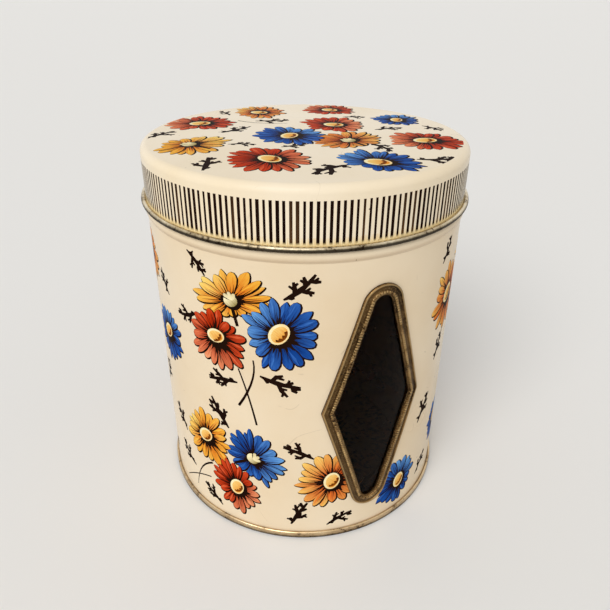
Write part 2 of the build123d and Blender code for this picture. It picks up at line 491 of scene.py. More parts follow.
def daisy(heart, shift, size, squash, lean, ink, lit, seed):
    """Patches of a daisy seen from its face. Its petals' ring is shifted from its heart, and
    foreshortened by squash along lean, in degrees. The heart is longest across the shift."""
    chance = Random(seed)
    heart_way = 1j * shift / abs(shift)
    half_long, half_wide = size * 0.29, size * 0.215
    tips = petal_tips(heart + shift, size, squash, rect(1, radians(lean)), chance)
    yield from petals(heart, tips, half_wide, ink, lit, chance)
    depth = shade_way * half_wide
    shadow = oval(heart + shade_way * size * 0.09, half_long * 1.14, half_wide * 1.2, heart_way)
    yield Patch(DARK_INK, shadow)
    yield Patch(BRIGHT_INK, oval(heart, half_long, half_wide, heart_way), heart - depth, 2 * depth,
                heart_cream, mixed(heart_cream, heart_yellow, 0.4))
    yield Patch(BRIGHT_INK, oval(heart + depth * 0.06, half_long * 0.8, half_wide * 0.76, heart_way),
                heart - depth * 0.5, 1.2 * depth,
                mixed(heart_cream, heart_yellow, 0.75), mixed(heart_yellow, heart_amber, 0.8))
    rim = [heart + depth * 0.1 + depth * complex(0.72 * cos(turn), 0.95 * sin(turn))
           for turn in stretch(-1.25, 1.25, 9)]
    jagged = [heart + depth * complex((0.3 if i % 2 else 0.56) * cos(turn), 0.8 * sin(turn))
              for i, turn in enumerate(stretch(1.1, -1.1, 8))]
    yield Patch(BRIGHT_INK, rim + jagged, heart, depth, heart_brown, mixed(heart_brown, heart_amber, 0.3))


def daisy_back(heart, shift, size, squash, lean, ink, lit, seed):
    """Patches of a daisy seen from behind, with its calyx and a short stalk that hangs away from lean."""
    chance = Random(seed)
    way = rect(1, radians(lean))
    tips = petal_tips(heart + shift, size, squash, way, chance)
    yield from petals(heart, tips, size * 0.12, ink, lit, chance)
    yield dark_stroke([heart - way * size * share for share in (0, 0.3, 0.62)], [0.6, 0.65, 0.55])
    yield Patch(DARK_INK, oval(heart + shade_way * size * 0.08, size * 0.2, size * 0.17, way * 1j))
    yield Patch(BRIGHT_INK, oval(heart, size * 0.17, size * 0.15, way * 1j), heart - shade_way * size * 0.1,
                shade_way * size * 0.26, heart_cream, calyx_green)
    for turn in (-0.75, -0.05, 0.65):
        sepal = way * rect(size * 0.16, turn)
        leaf = oval(heart + sepal * 0.7, size * 0.1, size * 0.055, sepal / abs(sepal), 10)
        yield Patch(BRIGHT_INK, leaf, heart, sepal * 1.4, heart_cream, mixed(heart_cream, calyx_green, 0.4))
        slit = [heart + sepal * rect(share, 0.35) for share in (0.1, 0.7, 1.3)]
        yield dark_stroke(slit, [0.05, 0.2, 0.12])


def sprig(middle, size, heading, seed):
    """Patches of one dark sprig of leaf, with toothed lobes down both sides of its stalk."""
    chance = Random(seed)
    bulk = size / 12
    way = rect(1, radians(heading))
    bend = chance.uniform(-0.35, 0.35)
    spine = [middle + way * size * complex(share - 0.5, bend * (share - share ** 2))
             for share in (0, 0.14, 0.3, 0.46, 0.62, 0.8, 1)]
    yield dark_stroke(spine, [bulk * width for width in (0.3, 0.6, 0.75, 0.9, 0.7, 0.62, 0.38)])
    side = chance.choice((1, -1))
    for joint, reach in ((1, 0.14), (2, 0.36), (3, 0.4), (4, 0.22), (5, 0.22)):
        side = -side
        root = spine[joint]
        lobe = way * rect(1, side * chance.uniform(0.65, 1.0))
        tip = root + lobe * size * reach * chance.uniform(0.85, 1.15)
        knee = (root + tip) / 2 + lobe * 1j * side * size * chance.uniform(-0.02, 0.05)
        yield dark_stroke([root, knee, tip], [bulk * width for width in (0.62, 0.7, 0.4)])
        for tooth_turn, tooth_share in ((0.9, 0.4), (-0.9, 0.62))[:2 if reach > 0.3 else 1]:
            start = root + (tip - root) * tooth_share
            end = start + lobe * rect(size * chance.uniform(0.12, 0.16), tooth_turn)
            yield dark_stroke([start, end], [bulk * 0.55, bulk * 0.32])


def curved_stroke(start, bend, end, half_widths):
    """A stroke along the arc that starts and ends at two points and is drawn towards a third."""
    thick, thin = half_widths
    shares = stretch(0, 1, 8)
    return dark_stroke([start * (1 - s) ** 2 + 2 * bend * s * (1 - s) + end * s ** 2 for s in shares],
                       [thick + (thin - thick) * s for s in shares])


# Window outline, a tall diamond with a round top and foot, about the middle of the window
window_height = 60.3
window_half_width = 19.2
window_half_length = 47.0
window_apex_radius = 7.4
window_side_radius = 1.0
least_corner_radius = 0.4
flat_length = window_half_length - window_apex_radius
apex_ratio = 1 - (window_apex_radius / window_half_width) ** 2
apex_root = sqrt(flat_length ** 2 - apex_ratio * (flat_length ** 2 - window_apex_radius ** 2))
sharp_half_length = (flat_length + apex_root) / apex_ratio
side_length = hypot(window_half_width, sharp_half_length)
side_slope = atan2(sharp_half_length, window_half_width)


def window_ring(inset, side_steps=30, apex_steps=16, corner_steps=3):
    """Points leftwards round the outline moved in by inset, always as many, from the right corner on."""
    half_width = window_half_width - inset * side_length / sharp_half_length
    half_length = sharp_half_length - inset * side_length / window_half_width
    apex = max(window_apex_radius - inset, least_corner_radius)
    corner = max(window_side_radius - inset, least_corner_radius)
    lean = pi / 2 - side_slope
    bends = []
    for quarter in range(4):
        tall = quarter % 2
        radius, steps, half_turn = (apex, apex_steps, side_slope) if tall else (corner, corner_steps, lean)
        reach = half_length - radius / sin(lean) if tall else half_width - radius / sin(side_slope)
        centre = rect(reach, quarter * pi / 2)
        bends.append([centre + rect(radius, quarter * pi / 2 + half_turn * share)
                      for share in stretch(-1, 1, steps + 1)])
    ring = []
    for bend, following in sides_of(bends):
        run = following[0] - bend[-1]
        ring += bend + [bend[-1] + run * i / side_steps for i in range(1, side_steps)]
    return ring


band_width = 4.05
throat_width = 0.4
stack_clearance = 0.05
print_margin = 0.3
window_middle = complex(0, window_height)


def kept_clear(outline):
    """The part of a printed outline that stays out of the window, cut off just under the frame's edge."""
    middle = sum(outline) / len(outline) - window_middle
    way = complex(sharp_half_length * (1 if middle.real > 0 else -1),
                  window_half_width * (1 if middle.imag > 0 else -1)) / side_length
    reach = window_half_width * sharp_half_length / side_length - print_margin
    past = [((point - window_middle) / way).real - reach for point in outline]
    kept = []
    for i, point in enumerate(outline):
        if past[i - 1] * past[i] < 0:
            kept.append(outline[i - 1] + (point - outline[i - 1]) * past[i - 1] / (past[i - 1] - past[i]))
        if past[i] >= 0:
            kept.append(point)
    return kept


# Places on the unrolled wall, right from the middle of the window and up from the base.
# Each daisy has its heart, its petals' shift from it, their length, how squashed they are and which way,
# its ink, the way that its lit petals point and its seed. A sprig has its middle, length and heading.
upper_posy = [
    (daisy_back, -48.9 + 101.2j, -0.6 + 1.6j, 14.6, 0.62, 103, "yellow", 150, 1),
    (daisy, -55.6 + 86.5j, 0.3 - 2.0j, 12.0, 0.97, 0, "red", -120, 2),
    (daisy, -33.2 + 91.6j, 0.6 - 0.4j, 14.6, 0.93, 0, "blue", 160, 3),
]
lower_posy = [
    (daisy, -64.8 + 39.5j, 0.4 - 0.5j, 13.2, 0.95, 0, "yellow", 170, 4),
    (daisy_back, -43.9 + 37.2j, 0.6 + 0.8j, 14.4, 0.72, 32, "blue", 0, 5),
    (daisy, -51.2 + 20.3j, -0.8 + 0.2j, 13.5, 0.76, 14, "red", -40, 6),
]
single_daisies = [
    (daisy, -14.9 + 28.5j, -1.8 + 0.3j, 14.0, 0.93, 0, "orange", 150, 7),
    (daisy, 15.3 + 16.1j, -1.6 + 0.2j, 12.5, 0.85, -30, "blue", 60, 8),
    (daisy, 37.8 + 90.4j, 0.2 - 0.4j, 14.4, 0.92, 20, "orange", 120, 9),
    (daisy, 46.0 + 29.0j, 0.5 - 0.5j, 12.4, 0.9, 30, "blue", 60, 10),
    (daisy, -84.7 + 76.0j, 0.6 - 0.8j, 12.4, 0.86, 150, "blue", 90, 11),
    (daisy, -99.8 + 103.6j, 0.3 - 0.4j, 12.2, 0.92, 40, "orange", -60, 12),
    (daisy_back, 56.0 + 101.0j, -0.6 + 1.6j, 13.4, 0.66, 80, "yellow", 150, 13),
    (daisy, 147.0 + 98.0j, 0.4 + 0.6j, 12.6, 0.9, 50, "orange", 120, 14),
    (daisy, 67.5 + 37.5j, 0.3 - 0.6j, 11.8, 0.92, 0, "red", 200, 15),
    (daisy, 160.0 + 62.0j, 0.2 + 0.4j, 12.8, 0.9, 30, "blue", 60, 16),
    (daisy, -112.0 + 27.0j, 0.3 + 0.3j, 12.6, 0.92, 60, "orange", 150, 17),
]
posy_sprigs = [
    (-61.6 + 111.0j, 10, -45), (-26.8 + 108.3j, 13, 42), (-68.5 + 90.6j, 11, 200), (-54.0 + 69.0j, 12, 190),
    (-33.1 + 73.0j, 14, -14), (-56.3 + 54.2j, 13.5, 120),
]
single_sprigs = [
    (-82.0 + 97.0j, 10, 120), (-81.5 + 38.0j, 12, 130), (-78.0 + 22.0j, 12, 140), (-63.5 + 9.6j, 11.5, 145),
    (-27.0 + 42.4j, 12, 155), (-26.8 + 12.3j, 13, 62), (-11.4 + 8.2j, 11, 28), (31.5 + 14.0j, 11, 50),
    (31.0 + 109.6j, 10, 60), (34.5 + 70.0j, 12, 65), (27.5 + 45.2j, 13, 60), (-92.0 + 54.0j, 12, 70),
    (62.0 + 14.0j, 12, 120), (80.0 + 27.0j, 12, 30), (165.0 + 108.0j, 11, 60), (167.0 + 36.0j, 12, 110),
    (150.0 + 12.0j, 12, 20), (-167.0 + 22.0j, 12, 70), (-168.0 + 76.0j, 12, 100), (-97.0 + 12.0j, 12, 60),
    (-122.0 + 8.0j, 12, 150), (-101.0 + 82.0j, 10, 110), (126.0 + 80.0j, 12, 55), (-166.0 + 112.0j, 10, 130),
]
upper_stems = [
    (-42.0 + 80.5j, -40.5 + 73.0j, -48.1 + 60.4j, (0.28, 0.5)),
    (-47.5 + 76.0j, -44.0 + 66.0j, -41.7 + 53.4j, (0.28, 0.4)),
]
lower_stems = [
    (-62.3 + 26.7j, -71.0 + 22.0j, -73.5 + 8.0j, (0.45, 0.15)),
    (-63.9 + 18.4j, -72.0 + 16.0j, -81.8 + 7.0j, (0.3, 0.2)),
]
# The posies come again on the side that the photograph doesn't show.
upper_shifts = [0, 133 - 1j, -84 + 1j]
lower_shifts = [0, 168 + 2j, -97 + 2j]
wall_patches = []
for shifts, stems, sprigs, daisies in ((upper_shifts, upper_stems, posy_sprigs, upper_posy),
                                       (lower_shifts, lower_stems, [], lower_posy),
                                       ([0], [], single_sprigs, single_daisies)):
    for shift in shifts:
        for start, bend, end, half_widths in stems:
            wall_patches.append(curved_stroke(start + shift, bend + shift, end + shift, half_widths))
        for number, (middle, size, heading) in enumerate(sprigs):
            wall_patches += sprig(middle + shift, size, heading, number)
        for draw, heart, *look in daisies:
            wall_patches += draw(heart + shift, *look)
wall_patches = [patch._replace(outline=kept_clear(patch.outline)) for patch in wall_patches]
wall_patches = [patch for patch in wall_patches if len(patch.outline) > 2]
unrolled = pi * wall_radius

column_width = 2 * unrolled / turn_steps
ruling_marks = [i * column_width for i in range(-turn_steps // 2, turn_steps // 2 + 1)]


def upright(low, high):
    """The border of the unrolled print between two heights, and the upright rulings that it is bent at."""
    border = [complex(x, low) for x in ruling_marks] + [complex(x, high) for x in ruling_marks[::-1]]
    return border, [(complex(x, low), complex(x, high)) for x in ruling_marks[1:-1]]


wall_border, wall_rulings = upright(wall_foot, bead_bottom)


def window_hole(inset):
    """The window's outline moved in by inset, on the unrolled wall, with a point at each ruling."""
    ring = [complex(wall_radius * asin(point.real / wall_radius), point.imag) + window_middle
            for point in window_ring(inset)]
    return [single(point) for point in split_at(ring, ruling_marks)]


aperture = window_hole(band_width - throat_width - stack_clearance)

# Lock seam down the back: a shallow groove outside and the fold of the sheet's edges inside
seam_half_fold = 2.5
seam_half_width = wall_radius * asin(seam_half_fold / (wall_radius - sheet))
seam_low, seam_high = 4.5, bead_bottom - 1.5
seam_fold_depth = 3 * sheet
groove_depth = 0.12
groove_width = 0.4
groove_right = unrolled - seam_half_fold
map_margin = 0.01


def box_of(left, right, low, high):
    corners = (complex(left, low), complex(right, low), complex(right, high), complex(left, high))
    return [single(corner) for corner in corners]


def on_wall(radius, low=wall_foot, high=bead_bottom):
    """Rolls the flat print up at a radius. low and high are the heights of its edges."""
    def laid(spot):
        turn = on_column(spot.real) / wall_radius
        return radius * sin(turn), -radius * cos(turn), snapped(snapped(spot.imag, low), high)
    return laid


def off_wall(way):
    return lambda spot: (way * sin(spot.real / wall_radius), -way * cos(spot.real / wall_radius), 0)


def halves_map(first_row, row_step, row_height, low, high):
    """A flat map with the left half of the rolled print in one row and its right half in the next."""
    def on_map(spot, middle):
        right = middle.real > 0
        along = spot.real / unrolled + (0 if right else 1)
        up = row_step * right + row_height * (spot.imag - low) / (high - low)
        return map_margin + along * (1 - 2 * map_margin), first_row + up
    return on_map


def inside_map(spot, _):
    return spot.real / unrolled * 0.49 + 0.5, 0.6 * spot.imag / bead_bottom


def flat_face(mesh, kind, corners, laid, facing, on_map):
    mesh.add(kind, [laid(spot) for spot in corners], [facing(spot) for spot in corners],
             [on_map(spot, spot) for spot in corners])


wall_map = halves_map(0.02, 0.44, 0.44, 0, bead_bottom)
wall_runs = bent_sheet(wall_hook_line, wall_foot + wall_hook_length, -90, [
    (wall_hook_length, 0),
    (layer_pitch, -180),
    (bead_bottom - wall_foot, 0),
    (bead_foot_radius, -bead_foot_angle),
    (bead_radius, bead_foot_angle + degrees(head_turn)),
    (bead_head_radius, -degrees(head_turn)),
    (mouth_curl_height - bead_top, 0),
    (mouth_curl_radius, mouth_curl_turn),
])
wall_mesh = SheetMesh()
spun(wall_mesh, wall_runs, [BARE, BARE, CUT, BARE, BARE, BARE, BARE, BARE],
     [BARE, BARE, CUT, LACQUER, LACQUER, LACQUER, BARE, BARE], {LACQUER: (0.92, 1), BARE: (0.62, 1)})
outer_skin, inner_skin = on_wall(wall_radius), on_wall(wall_radius - sheet)
hole = Patch(CUT, aperture)
groove = box_of(groove_right - groove_width, groove_right, seam_low, seam_high)
printed(wall_mesh, LACQUER, wall_border, wall_rulings, wall_patches + [hole, Patch(CUT, groove)],
        outer_skin, off_wall(1), wall_map)
bridged(wall_mesh, BARE, aperture, outer_skin, inner_skin, inside_map)
groove_floor = on_wall(wall_radius - groove_depth)
bridged(wall_mesh, LACQUER, groove, outer_skin, groove_floor, wall_map)
flat_face(wall_mesh, LACQUER, groove, groove_floor, off_wall(1), wall_map)

fold_right = single(complex(unrolled - seam_half_width)).real
notch_right = [complex(*spot) for spot in (
    (unrolled, wall_foot), (unrolled, seam_low), (fold_right, seam_low),
    (fold_right, seam_high), (unrolled, seam_high), (unrolled, bead_bottom))]
notch_left = [complex(-spot.real, spot.imag) for spot in reversed(notch_right)]
inside_border = (wall_border[:turn_steps] + notch_right + wall_border[turn_steps + 2:2 * turn_steps + 1]
                 + notch_left[:-1])
printed(wall_mesh, BARE, inside_border, wall_rulings, [hole], inner_skin, off_wall(-1), inside_map, True)
fold_face = on_wall(wall_radius - sheet - seam_fold_depth)
fold_marks = (fold_right, unrolled, 2 * unrolled - fold_right)
for left, right in zip(fold_marks, fold_marks[1:]):
    panel = [complex(left, seam_high), complex(right, seam_high), complex(right, seam_low),
             complex(left, seam_low)]
    flat_face(wall_mesh, BARE, panel, fold_face, off_wall(-1), inside_map)
fold_ring = [complex(x, seam_low) for x in fold_marks] + [complex(x, seam_high) for x in fold_marks[::-1]]
bridged(wall_mesh, BARE, fold_ring, fold_face, inner_skin, inside_map)


# Finishes of the wall: gloss cream lacquer, inks in the same varnish, and bare gold-toned tinplate
def fed(tree, inputs, values):
    """Sets a node's inputs to values, or links them to other nodes' outputs."""
    for name, value in dict(values).items():
        if isinstance(value, bpy.types.NodeSocket):
            tree.links.new(value, inputs[name])
        else:
            inputs[name].default_value = value


def node(tree, kind, values=(), out=0, **settings):
    """One output of a new node, which is a shader node where kind doesn't say another."""
    made = tree.nodes.new(kind if "Node" in kind else "ShaderNode" + kind)
    for name, value in settings.items():
        setattr(made, name, value)
    fed(tree, made.inputs, values)
    return made.outputs[out]


def maths(tree, operation, *values):
    return node(tree, "Math", enumerate(values), operation=operation)


def noise(tree, at, scale, detail=2, **more):
    return node(tree, "TexNoise", {"Vector": at, "Scale": scale, "Detail": detail, **more})


def blended(tree, share, one, other, blend="MIX"):
    return node(tree, "Mix", {0: share, 6: one, 7: other}, 2, data_type="RGBA", blend_type=blend)


def masked(tree, value, low, high, to_low=0.0, to_high=1.0):
    names = ("Value", "From Min", "From Max", "To Min", "To Max")
    return node(tree, "MapRange", zip(names, (value, low, high, to_low, to_high)))


def bumped(tree, strength, distance, height):
    return node(tree, "Bump", {"Strength": strength, "Distance": distance, "Height": height})


def surface_of(material):
    """A material's node tree and the inputs of its surface."""
    material.use_nodes = True
    return material.node_tree, material.node_tree.nodes["Principled BSDF"].inputs


def effect(name, inputs, made_by):
    """A group of shader nodes. inputs has each input's first value, and made_by makes the outputs."""
    tree = bpy.data.node_groups.new(name, "ShaderNodeTree")
    for socket, value in inputs.items():
        added = tree.interface.new_socket(socket, in_out="INPUT", socket_type="NodeSocketFloat")
        added.default_value = value
    given = tree.nodes.new("NodeGroupInput").outputs
    outputs = made_by(tree, given, node(tree, "TexCoord", out="Object"))
    for socket in outputs:
        tree.interface.new_socket(socket, in_out="OUTPUT", socket_type="NodeSocketFloat")
    fed(tree, tree.nodes.new("NodeGroupOutput").inputs, outputs)
    return tree


def wear(tree, given, at):
    """Specks, hairline scratches, a slow mottle and the faint ripple of varnish on rolled sheet."""
    dots = node(tree, "TexVoronoi", {"Vector": at, "Scale": 160})
    size = maths(tree, "MULTIPLY", given["Speck Size"], dots.node.outputs["Color"])
    speck = maths(tree, "LESS_THAN", dots, size)
    line = maths(tree, "SUBTRACT", noise(tree, at, 26, 1, Distortion=0.6), 0.5)
    line = maths(tree, "LESS_THAN", maths(tree, "ABSOLUTE", line), given["Scratch Width"])
    return {"Specks": maths(tree, "MULTIPLY", speck, masked(tree, noise(tree, at, 900), 0.4, 0.5)),
            "Scratches": maths(tree, "MULTIPLY", line, masked(tree, noise(tree, at, 130, 3), 0.54, 0.6)),
            "Mottle": masked(tree, noise(tree, at, 22, 4, Roughness=0.55), 0.35, 0.68),
            "Ripple": noise(tree, at, 420)}


def tarnish(tree, given, at):
    """How dull and how stained plating is, and the fine grain of rolled sheet."""
    broad = noise(tree, at, given["Stain Scale"], 5, Roughness=0.62)
    small = noise(tree, at, 700, 3, Roughness=0.7)
    return {"Dull": masked(tree, broad, 0.32, 0.66),
            "Stain": masked(tree, maths(tree, "MULTIPLY", broad, small), 0.27, 0.36), "Grain": small}


varnish_wear = effect("varnish_wear", {"Speck Size": 0.05, "Scratch Width": 0.0014}, wear)
plating_tarnish = effect("plating_tarnish", {"Stain Scale": 60}, tarnish)
speck_colour = paint(70, 48, 30)
scratch_colour = paint(120, 100, 74)
lacquer_gloss = 0.1
ink_gloss = 0.002
lacquer_specks, ink_specks = 0.05, 0.03
streak_scale = (0.16, 1.9, 1)


def varnished(name, gloss, speck_size, colours=None):
    """Lacquer or ink under varnish, mottled from one colour to another. With no colours it takes the
    print's tints, and fine streaks run along its strokes."""
    material = bpy.data.materials.new(name)
    tree, surface = surface_of(material)
    worn = node(tree, "Group", {"Speck Size": speck_size}, node_tree=varnish_wear).node.outputs
    if colours:
        base = blended(tree, worn["Mottle"], *colours)
    else:
        tint = node(tree, "Attribute", attribute_name="Tint")
        strokes = node(tree, "UVMap", uv_map="Strokes")
        along = node(tree, "Mapping", {"Vector": strokes, "Scale": streak_scale})
        streak = noise(tree, along, 1, 3, Roughness=0.65)
        darker = blended(tree, masked(tree, streak, 0.5, 0.36, 0, 0.5), tint, tint, "MULTIPLY")
        base = blended(tree, masked(tree, streak, 0.54, 0.72, 0, 0.35), darker, tint, "SCREEN")
    base = blended(tree, worn["Specks"], base, speck_colour)
    base = blended(tree, masked(tree, worn["Scratches"], 0, 1, 0, 0.16), base, scratch_colour)
    fed(tree, surface, {"Base Color": base, "Specular IOR Level": gloss,
                        "Roughness": maths(tree, "MULTIPLY_ADD", worn["Mottle"], 0.08, 0.2),
                        "Normal": bumped(tree, 0.12, 0.2 * mm, worn["Ripple"])})
    return material


def plated(name, bright, dull, stain, roughness, stain_scale=60, bump_strength=0.25):
    """Bare plating, from bright to dull, with darker stains."""
    material = bpy.data.materials.new(name)
    tree, surface = surface_of(material)
    worn = node(tree, "Group", {"Stain Scale": stain_scale}, node_tree=plating_tarnish).node.outputs
    base = blended(tree, worn["Dull"], bright, dull)
    fed(tree, surface, {"Base Color": blended(tree, worn["Stain"], base, stain),
                        "Roughness": masked(tree, worn["Dull"], 0, 1, *roughness),
                        "Normal": bumped(tree, bump_strength, 0.1 * mm, worn["Grain"]), "Metallic": 1})
    return material


def painted_shade_by_height(material, low, high, share, colour, spared_below=-1.0):
    """Paints shade on a finish, towards a colour, from all of its share at the height low to none at the
    height high, and none below the height spared_below."""
    tree, surface = surface_of(material)
    at = node(tree, "TexCoord", out="Object")
    edge = maths(tree, "MULTIPLY_ADD", noise(tree, at, 900, 3), 0.5 * mm, -0.25 * mm)
    level = maths(tree, "ADD", node(tree, "SeparateXYZ", {"Vector": at}, "Z"), edge)
    spared = masked(tree, level, (spared_below - 0.4) * mm, (spared_below + 0.4) * mm)
    darkening = maths(tree, "MULTIPLY", masked(tree, level, low * mm, high * mm, share, 0), spared)
    base, rough = (surface[name].links[0].from_socket for name in ("Base Color", "Roughness"))
    fed(tree, surface, {"Base Color": blended(tree, darkening, base, colour),
                        "Roughness": maths(tree, "MULTIPLY_ADD", darkening, 0.3, rough)})


# Near-black brown for the lid's chips, and for the painted shade on the curl and the seam.
chip_and_shade_colour = paint(26, 16, 9)
bead_shade_colour = paint(160, 120, 78)
cream_lacquer = varnished("cream_lacquer", lacquer_gloss, lacquer_specks,
                          (paint(233, 215, 186), paint(227, 205, 171)))
# Painted shade: the lacquer on the bead's lower flank, which faces down, is darkened towards tan.
painted_shade_by_height(cream_lacquer, bead_bottom + 0.9, bead_bottom + 2.2, 0.3, bead_shade_colour, bead_bottom + 0.3)
bright_ink = varnished("bright_ink", ink_gloss, ink_specks)
dark_ink = varnished("dark_ink", ink_gloss, ink_specks, (paint(24, 12, 8), paint(36, 20, 12)))
tinplate = plated("tinplate", paint(190, 164, 118), paint(146, 120, 80), paint(108, 84, 52), (0.22, 0.42))
inks = {LACQUER: cream_lacquer, BRIGHT_INK: bright_ink, DARK_INK: dark_ink, BARE: tinplate}

wall = wall_mesh.piece("printed_wall", inks)
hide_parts("body_wall")
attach(wall, "tin")

# Base
# A pressed end of bare tinplate with one stiffening step. Its rim is folded over the wall's hook into
# the double seam that the tin stands on.
seam_height = 3.0
base_hook_length = 1.3
foot_flat_width = 0.3
panel_rise = 3.3
panel_corner_radius = 0.7
step_ring_radius = 40.0
step_bend_radius = 1.2
step_bend_angle = 35
plate_roughness = (0.25, 0.45)

chuck_line = wall_line - layer_pitch
foot_bend_radius = (wall_line + 3 * layer_pitch - chuck_line - foot_flat_width) / 2
foot_bend_height = foot_bend_radius + half_sheet
step_width = 2 * step_bend_radius * sin(radians(step_bend_angle))
step_drop = 2 * step_bend_radius * (1 - cos(radians(step_bend_angle)))
panel_line = panel_rise + half_sheet
base_runs = bent_sheet(0, panel_line, 0, [
    (step_ring_radius, 0),
    (step_bend_radius, -step_bend_angle),
    (step_bend_radius, step_bend_angle),
    (chuck_line - panel_corner_radius - step_width - step_ring_radius, 0),
    (panel_corner_radius, -90),
    (panel_line - step_drop - panel_corner_radius - foot_bend_height, 0),
    (foot_bend_radius, 90),
    (foot_flat_width, 0),
    (foot_bend_radius, 90),
    (seam_height - layer_pitch - half_sheet - foot_bend_height, 0),
    (layer_pitch, 180),
    (base_hook_length, 0),
])
base_mesh = SheetMesh()
spun(base_mesh, base_runs, [BARE] * len(base_runs), [BARE] * len(base_runs), {BARE: (0, 1)})
seam_plate = plated("seam_plate", paint(216, 192, 154), paint(178, 150, 110), paint(88, 66, 44),
                    plate_roughness, stain_scale=90)
# Painted shade: the seam is darkened near to black towards its foot, where it stands on the floor.
painted_shade_by_height(seam_plate, 0.6, 1.9, 0.94, chip_and_shade_colour)
base = base_mesh.piece("pressed_base", {BARE: seam_plate})
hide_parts("base_end")
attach(base, "tin")

# Lid
# Drawn from one printed sheet: a flat top with daisies, a round shoulder, a skirt with dark stripes and a
# bare curl that comes down on the wall's bead.
lid_clearance = 0.25
lid_seat_gap = 0.3
lid_curl_diameter = 1.9
lid_curl_turn = 305
stripe_count = 190
stripe_low, stripe_high = 122.8, 135.1
stripe_foot = 121.9
brown_share = 0.2
stripe_seed = 5
margin_low, margin_high = 121.4, 124.2
margin_cream = paint(240, 216, 160)
margin_pale = paint(240, 224, 196)
stripe_browns = (paint(84, 58, 36), paint(54, 36, 22))

skirt_line = neck_line + sheet + lid_clearance
skirt_radius = skirt_line + half_sheet
lid_curl_radius = lid_curl_diameter / 2 - half_sheet
lid_curl_reach = bead_radius + half_sheet + lid_curl_diameter / 2 + lid_seat_gap
lid_curl_out = skirt_line + lid_curl_radius - bead_centre_line
lid_curl_height = bead_crest + sqrt(lid_curl_reach ** 2 - lid_curl_out ** 2)
shoulder_height = overall_height - lid_shoulder_radius
top_radius = skirt_radius - lid_shoulder_radius
lid_runs = bent_sheet(0, overall_height - half_sheet, 0, [
    (top_radius, 0),
    (lid_shoulder_radius - half_sheet, -90),
    (shoulder_height - lid_curl_height, 0),
    (lid_curl_radius, lid_curl_turn),
])
lid_mesh = SheetMesh()
spun(lid_mesh, lid_runs, [CUT, LACQUER, CUT, BARE], [BARE] * 4, {LACQUER: (0.79, 0.815), BARE: (0, 1)})

# Places on the lid's top, seen from above with the window's side at the bottom
lid_daisies = [
    (daisy, -23.2 - 23.2j, -1.5 - 0.4j, 15.2, 0.93, 30, "red", -25),
    (daisy, 5.4 - 40.1j, 1.6 + 1.4j, 15.2, 0.72, 26, "blue", 110),
    (daisy_back, -41.0 + 3.6j, 1.0 - 1.6j, 15.2, 0.7, 120, "yellow", 10),
    (daisy, -28.8 + 32.3j, 0.2 + 1.4j, 13.8, 0.9, 70, "red", 160),
    (daisy, -1.0 + 42.0j, 0.2 + 0.3j, 12.0, 0.9, 0, "orange", 120),
    (daisy_back, 10.2 - 13.3j, 0.4 + 1.2j, 14.8, 0.72, 100, "orange", 20),
    (daisy, 16.6 + 10.1j, 0.4 + 0.5j, 13.2, 0.92, 40, "red", -30),
    (daisy, -5.6 + 1.3j, -0.4 + 0.4j, 13.8, 0.92, 20, "blue", 30),
    (daisy, 34.3 - 23.8j, -0.2 - 0.8j, 14.4, 0.92, 30, "red", 160),
    (daisy, 43.0 + 7.5j, -0.4 + 0.2j, 10.8, 0.9, 0, "blue", 60),
    (daisy, 27.8 + 35.0j, 0.2 + 0.2j, 11.6, 0.9, 50, "red", 100),
]
lid_sprigs = [
    (-42.8 - 20.5j, 14, 66), (-46.5 + 21.0j, 12, 30), (-25.0 - 3.5j, 9.5, -25), (-20.0 + 17.0j, 13, 20),
    (-9.5 - 12.0j, 10, 0), (-2.0 + 25.5j, 13, -20), (-11.0 - 41.0j, 15, 195), (24.0 - 44.5j, 13, -18),
    (15.5 - 25.5j, 12, -84), (32.0 - 4.0j, 11, -5), (47.0 - 10.0j, 10, -80), (30.5 + 19.0j, 9, -25),
    (-14.5 + 46.0j, 9, 100),
]
lid_stems = [
    (-14.0 + 31.0j, -9.0 + 22.0j, 1.5 + 19.0j, (0.3, 0.15)),
    (-27.0 + 16.0j, -20.0 + 15.0j, -13.0 + 20.0j, (0.15, 0.35)),
]
first_sprig_seed, first_daisy_seed = 60, 80
lid_patches = [curved_stroke(*stem) for stem in lid_stems]
for number, (middle, size, heading) in enumerate(lid_sprigs):
    lid_patches += sprig(middle, size, heading, first_sprig_seed + number)
for number, (draw, *look) in enumerate(lid_daisies):
    lid_patches += draw(*look, first_daisy_seed + number)
rim_reach = 0.3
lid_border = [rect(top_radius, step * step_turn - 3 * pi / 2) for step in range(turn_steps)]


def on_lid(spot):
    """The place of a flat point, on the shoulder's own corners at the rim."""
    if abs(spot) > top_radius - rim_reach:
        turn = round((atan2(spot.real, -spot.imag) + pi) / step_turn) * step_turn - pi
        return top_radius * sin(turn), -top_radius * cos(turn), overall_height
    return spot.real, spot.imag, overall_height


def lid_map(spot, _):
    return 0.5 + 0.39 * spot.real / top_radius, 0.39 + 0.38 * spot.imag / top_radius


printed(lid_mesh, LACQUER, lid_border, [], lid_patches, on_lid, lambda spot: (0, 0, 1), lid_map)

